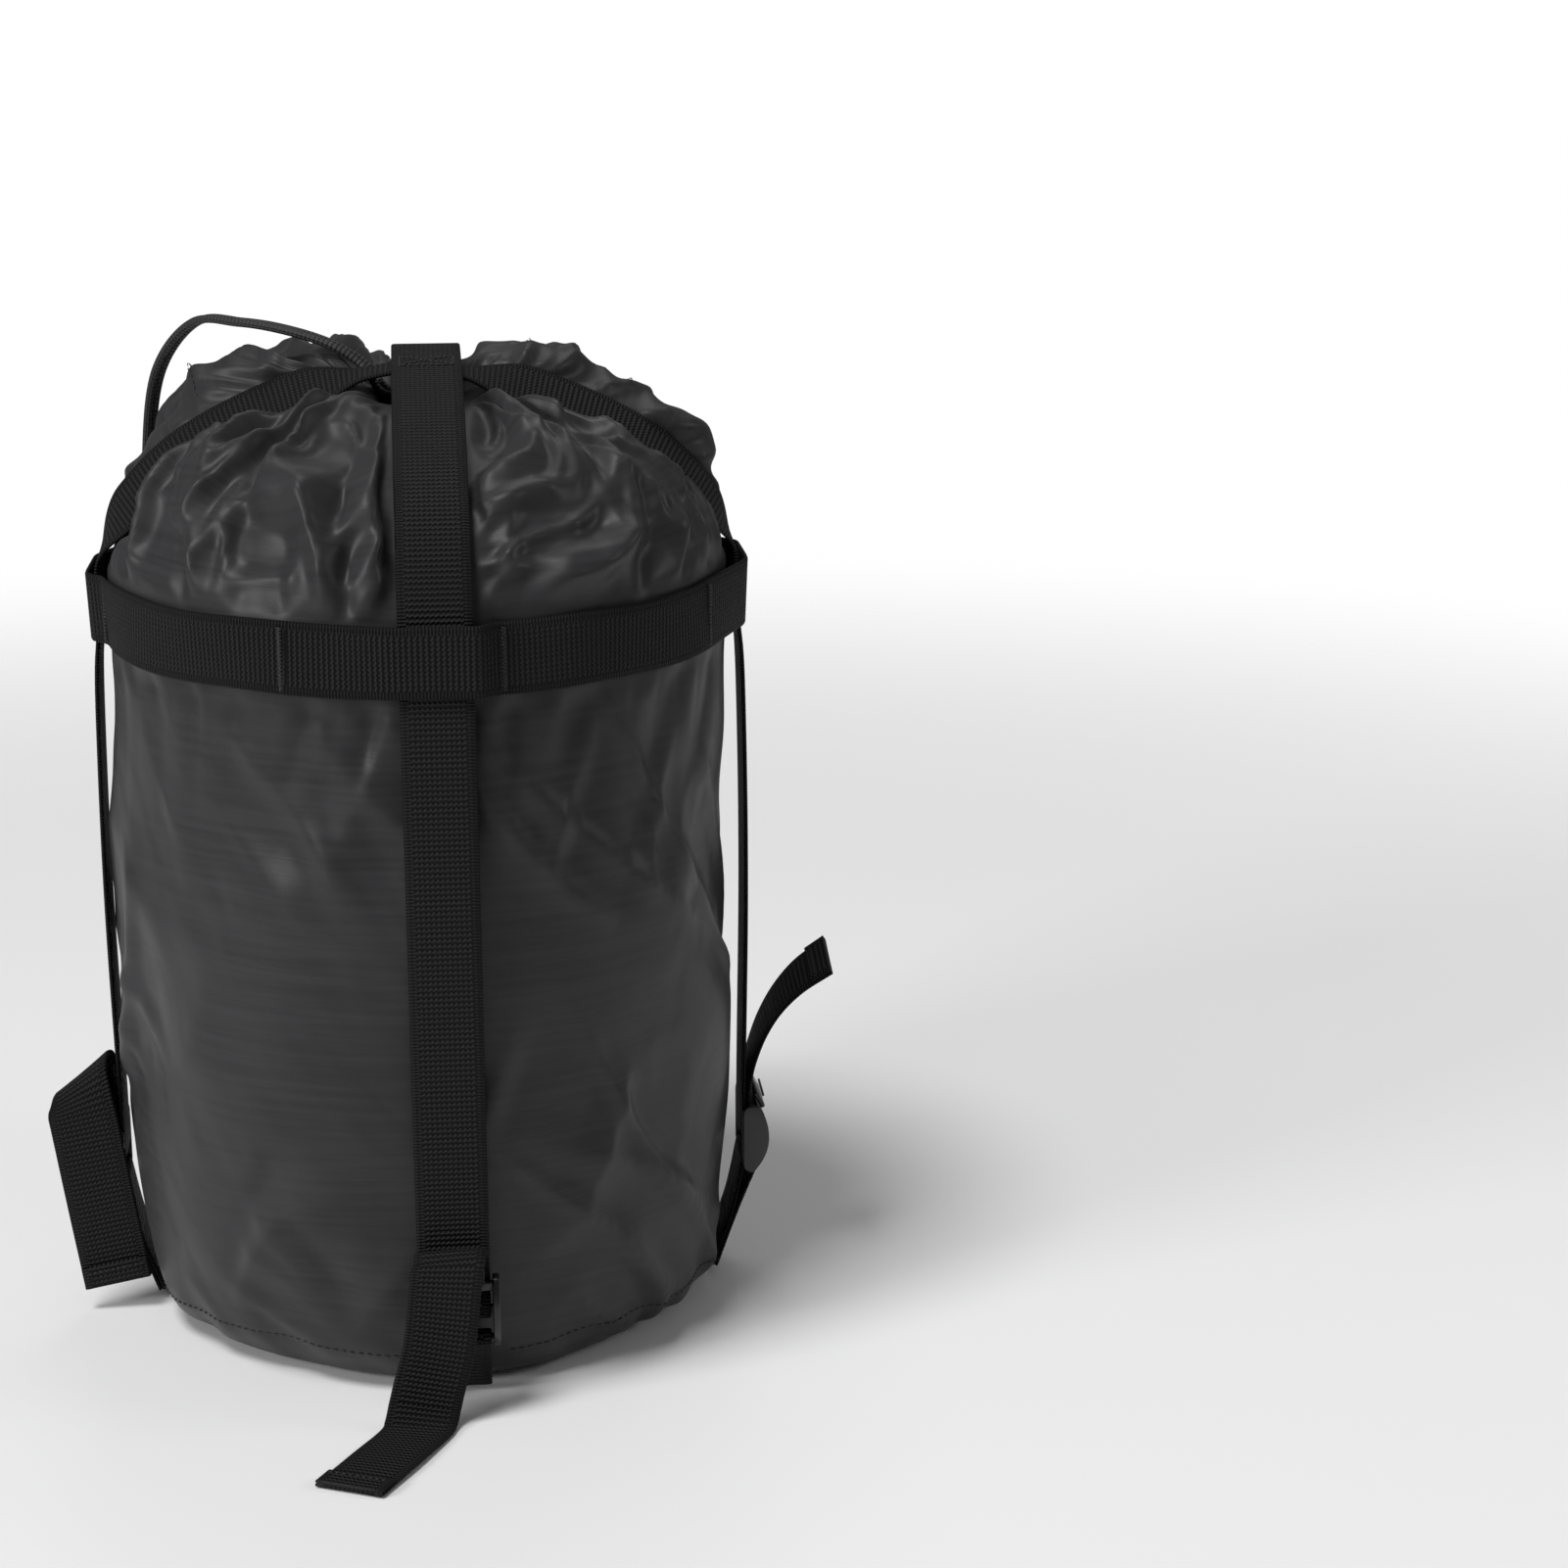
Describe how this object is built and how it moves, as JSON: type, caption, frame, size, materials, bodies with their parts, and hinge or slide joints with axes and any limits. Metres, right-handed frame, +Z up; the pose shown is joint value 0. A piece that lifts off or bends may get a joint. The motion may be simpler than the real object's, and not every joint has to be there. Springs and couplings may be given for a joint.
{
  "type": "compression sack",
  "caption": "Round stuffed compression sack with a cinched mouth, crossed webbing straps over the top, a holding band and a ladder lock buckle with a free strap tail on each side.",
  "frame": {"origin": "centre of the flat base, on the face it stands on", "axes": "+Z up along the sack's long axis, -Y the front with the longest free tail, +X the right"},
  "size_m": [0.292, 0.3322, 0.3614],
  "materials": {
    "coated_nylon": "satin coated nylon, fine plain weave",
    "strap_webbing": "ribbed nylon webbing",
    "edge_tape": "woven binding tape",
    "stitch_thread": "bonded polyester thread",
    "braided_cord": "braided polyester cord",
    "packed_clothes": "soft packed clothing",
    "moulded_acetal": "fine satin moulding",
    "spring_wire": "bright drawn wire"
  },
  "bodies": {
    "sack": {"base_panel": "coated_nylon", "base_seam_tape": "edge_tape", "side_panel": "coated_nylon", "top_gather": "coated_nylon", "packed_load": "packed_clothes", "anchor_loop_front": "strap_webbing", "anchor_loop_right": "strap_webbing", "anchor_loop_back": "strap_webbing", "anchor_loop_left": "strap_webbing", "strap_run_front": "strap_webbing", "strap_run_right": "strap_webbing", "strap_run_back": "strap_webbing", "strap_run_left": "strap_webbing"},
    "crown": {"mouth_hem": "coated_nylon", "drawcord_ring": "braided_cord", "cord_lock_barrel": "moulded_acetal", "cord_lock_spring": "spring_wire", "crown_strap_side": "strap_webbing", "crown_strap_front": "strap_webbing", "crown_box_stitch": "stitch_thread", "drawcord_near": "braided_cord", "drawcord_far": "braided_cord", "drawcord_knot": "braided_cord"},
    "band": {"cinch_band": "strap_webbing", "band_bartacks": "stitch_thread"},
    "lock_button": {"cord_lock_plunger": "moulded_acetal"},
    "buckle_front": {"ladder_lock_front": "moulded_acetal", "strap_wrap_front": "strap_webbing", "tail_upper_front": "strap_webbing"},
    "tail_front": {"tail_end_front": "strap_webbing"},
    "buckle_right": {"ladder_lock_right": "moulded_acetal", "strap_wrap_right": "strap_webbing", "tail_upper_right": "strap_webbing"},
    "tail_right": {"tail_end_right": "strap_webbing"},
    "buckle_back": {"ladder_lock_back": "moulded_acetal", "strap_wrap_back": "strap_webbing", "tail_upper_back": "strap_webbing"},
    "tail_back": {"tail_end_back": "strap_webbing"},
    "buckle_left": {"ladder_lock_left": "moulded_acetal", "strap_wrap_left": "strap_webbing", "tail_upper_left": "strap_webbing"},
    "tail_left": {"tail_end_left": "strap_webbing"}
  },
  "joints": [
    {"name": "compress", "type": "slide", "parent": "sack", "child": "crown", "axis": [0, 0, 1], "range_m": [-0.08, 0], "deforming": ["side_panel", "top_gather", "packed_load", "crown_strap_side", "crown_strap_front", "strap_run_front", "strap_run_right", "strap_run_back", "strap_run_left"]},
    {"name": "band_slide", "type": "slide", "parent": "sack", "child": "band", "axis": [0, 0, 1], "range_m": [-0.06181, 0]},
    {"name": "lock_press", "type": "slide", "parent": "crown", "child": "lock_button", "axis": [0, 0, 1], "range_m": [-0.003, 0], "stiffness_N_per_m": 800, "springref_m": 0.004, "deforming": ["cord_lock_spring"]},
    {"name": "buckle_front_lift", "type": "hinge", "parent": "sack", "child": "buckle_front", "pos_m": [0.0045, -0.1181, 0.027], "axis": [1, 0, 0], "range_deg": [0, 20], "stiffness_Nm_per_rad": 0.02, "springref_deg": -11.46, "deforming": ["tail_upper_front"]},
    {"name": "buckle_right_lift", "type": "hinge", "parent": "sack", "child": "buckle_right", "pos_m": [0.1181, 0, 0.045], "axis": [0, 1, 0], "range_deg": [0, 20], "stiffness_Nm_per_rad": 0.02, "springref_deg": -11.46},
    {"name": "buckle_back_lift", "type": "hinge", "parent": "sack", "child": "buckle_back", "pos_m": [0.0045, 0.1181, 0.038], "axis": [-1, 0, 0], "range_deg": [0, 20], "stiffness_Nm_per_rad": 0.02, "springref_deg": -11.46},
    {"name": "buckle_left_lift", "type": "hinge", "parent": "sack", "child": "buckle_left", "pos_m": [-0.1181, 0, 0.046], "axis": [0, -1, 0], "range_deg": [0, 20], "stiffness_Nm_per_rad": 0.02, "springref_deg": -11.46},
    {"name": "tail_front_swing", "type": "hinge", "parent": "sack", "child": "tail_front", "pos_m": [-0.0077, -0.1333, 0.0022], "axis": [-0.9948, 0.1015, 0], "range_deg": [0, 60]},
    {"name": "tail_right_swing", "type": "hinge", "parent": "buckle_right", "child": "tail_right", "pos_m": [0.1206, 0, 0.0862], "axis": [0, 1, 0], "range_deg": [-15, 60]},
    {"name": "tail_back_swing", "type": "hinge", "parent": "buckle_back", "child": "tail_back", "pos_m": [0.0045, 0.1206, 0.0792], "axis": [-1, 0, 0], "range_deg": [-15, 60]},
    {"name": "tail_left_swing", "type": "hinge", "parent": "buckle_left", "child": "tail_left", "pos_m": [-0.1297, -0.0136, 0.0904], "axis": [0, -1, 0], "range_deg": [-20, 0]}
  ],
  "couplings": [
    {"joint": "band_slide", "follows": "compress", "ratio": 0.77011},
    {"joint": "tail_left_swing", "follows": "buckle_left_lift", "ratio": -1}
  ]
}
